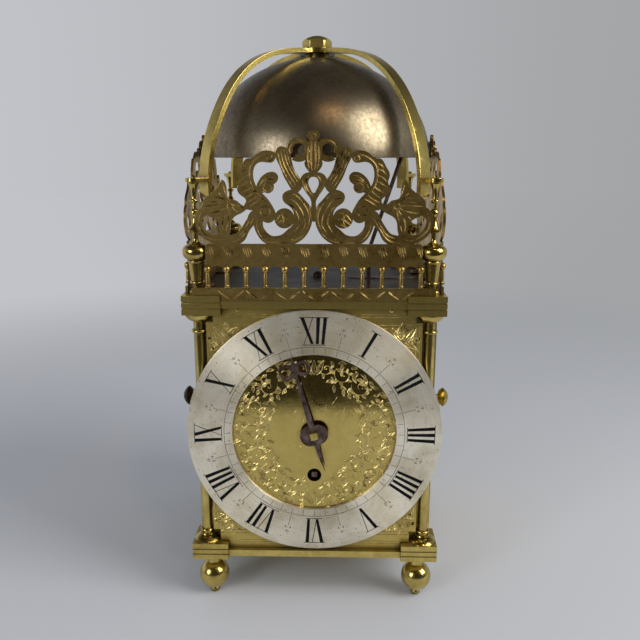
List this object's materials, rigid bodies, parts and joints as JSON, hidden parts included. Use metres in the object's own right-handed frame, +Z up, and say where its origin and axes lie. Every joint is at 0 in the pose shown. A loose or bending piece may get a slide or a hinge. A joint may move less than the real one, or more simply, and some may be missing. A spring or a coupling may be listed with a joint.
{
  "type": "lantern clock",
  "caption": "Lantern clock: square brass case on ball feet, turned corner pillars, silvered chapter ring with an hour hand, pierced frets, and a bell under a crossed strap.",
  "frame": {"origin": "centre of the clock's plan, at the level its feet stand on", "axes": "+Z up, the dial faces -Y, +X to the right as seen from the front"},
  "size_m": [0.1804, 0.1668, 0.3755],
  "materials": {
    "brass": "aged polish",
    "fret_brass": "dull, engraved",
    "strap_brass": "aged polish",
    "bell_metal": "dull grey-brown",
    "silvered_brass": "matt silvering",
    "black_wax": "matt",
    "dark_steel": "browned",
    "steel": "grey",
    "leather": "matt"
  },
  "bodies": {
    "case": {"back_cock": "brass", "back_knob": "brass", "back_plate": "brass", "bell": "bell_metal", "bell_bolt": "steel", "bell_leather": "leather", "bell_nut": "strap_brass", "bell_spacer": "steel", "bell_strap": "strap_brass", "bottom_plate": "brass", "bracket_screw": "steel", "chapter_numerals": "black_wax", "chapter_ring": "silvered_brass", "dial_feet": "brass", "dial_plate": "brass", "fret_screws": "steel", "front_fret": "fret_brass", "front_left_finial": "brass", "front_left_foot": "brass", "front_left_pillar": "brass", "front_right_finial": "brass", "front_right_foot": "brass", "front_right_pillar": "brass", "left_fret": "fret_brass", "lug_rivets": "brass", "movement_back_plate": "brass", "movement_bracket": "brass", "movement_front_plate": "brass", "movement_pillars": "brass", "movement_screws": "steel", "plate_lugs": "brass", "rear_left_finial": "brass", "rear_left_foot": "brass", "rear_left_pillar": "brass", "rear_right_finial": "brass", "rear_right_foot": "brass", "rear_right_pillar": "brass", "right_fret": "fret_brass", "top_plate": "brass"},
    "left_door": {"left_door": "brass", "left_door_knob": "dark_steel"},
    "right_door": {"right_door": "brass", "right_door_knob": "brass"},
    "hand": {"hour_hand": "dark_steel", "hand_collet": "brass", "hour_wheel": "brass"},
    "minute_wheel": {"minute_wheel": "brass"},
    "cannon_pinion": {"cannon_pinion": "brass"},
    "third_wheel": {"third_wheel": "brass"},
    "centre_wheel": {"centre_wheel": "brass"},
    "barrel": {"spring_barrel": "brass", "mainspring": "steel"},
    "escape_wheel": {"escape_wheel": "brass"},
    "winding_arbor": {"barrel_arbor": "steel", "ratchet_wheel": "steel"},
    "click": {"click": "steel"},
    "pendulum": {"anchor": "steel", "pendulum_rod": "brass"},
    "bob": {"pendulum_bob": "brass"},
    "hammer": {"hammer": "steel"}
  },
  "joints": [
    {"name": "left_door_hinge", "type": "hinge", "parent": "case", "child": "left_door", "pos_m": [-0.07795, 0.0615, 0.1214], "axis": [0, 0, -1], "range_deg": [0, 95]},
    {"name": "right_door_hinge", "type": "hinge", "parent": "case", "child": "right_door", "pos_m": [0.07795, 0.0615, 0.1214], "axis": [0, 0, 1], "range_deg": [0, 95]},
    {"name": "hand_turn", "type": "hinge", "parent": "case", "child": "hand", "pos_m": [0, -0.08, 0.121], "axis": [0, 1, 0], "continuous": true},
    {"name": "minute_wheel_turn", "type": "hinge", "parent": "case", "child": "minute_wheel", "pos_m": [0.012, -0.066, 0.121], "axis": [0, 1, 0], "continuous": true},
    {"name": "cannon_turn", "type": "hinge", "parent": "case", "child": "cannon_pinion", "pos_m": [0, -0.066, 0.121], "axis": [0, 1, 0], "continuous": true},
    {"name": "third_turn", "type": "hinge", "parent": "case", "child": "third_wheel", "pos_m": [-0.01305, -0.04, 0.13964], "axis": [0, 1, 0], "continuous": true},
    {"name": "centre_turn", "type": "hinge", "parent": "case", "child": "centre_wheel", "pos_m": [0, -0.04, 0.121], "axis": [0, 1, 0], "continuous": true},
    {"name": "barrel_turn", "type": "hinge", "parent": "case", "child": "barrel", "pos_m": [0, -0.04, 0.0915], "axis": [0, 1, 0], "continuous": true},
    {"name": "escape_turn", "type": "hinge", "parent": "case", "child": "escape_wheel", "pos_m": [0, -0.04, 0.15532], "axis": [0, 1, 0], "continuous": true},
    {"name": "winding_turn", "type": "hinge", "parent": "case", "child": "winding_arbor", "pos_m": [0, -0.063, 0.0915], "axis": [0, 1, 0], "continuous": true},
    {"name": "click_lift", "type": "hinge", "parent": "case", "child": "click", "pos_m": [-0.00135, -0.063, 0.10694], "axis": [0, -1, 0], "range_deg": [0, 12], "stiffness_Nm_per_rad": 0.002, "springref_deg": -20.05},
    {"name": "pendulum_swing", "type": "hinge", "parent": "case", "child": "pendulum", "pos_m": [0, -0.007, 0.17653], "axis": [0, 1, 0], "range_deg": [-3, 3]},
    {"name": "bob_turn", "type": "hinge", "parent": "pendulum", "child": "bob", "pos_m": [0, -0.007, 0.07953], "axis": [0, 0, 1], "range_deg": [-180, 180]},
    {"name": "hammer_lift", "type": "hinge", "parent": "case", "child": "hammer", "pos_m": [0.0356, -0.037, 0.16], "axis": [0, -1, 0], "range_deg": [0, 10]}
  ],
  "couplings": [
    {"joint": "minute_wheel_turn", "follows": "hand_turn", "ratio": -4},
    {"joint": "cannon_turn", "follows": "hand_turn", "ratio": 12},
    {"joint": "centre_turn", "follows": "third_turn", "ratio": -0.083333},
    {"joint": "barrel_turn", "follows": "third_turn", "ratio": 0.0092593},
    {"joint": "escape_turn", "follows": "third_turn", "ratio": -16}
  ]
}
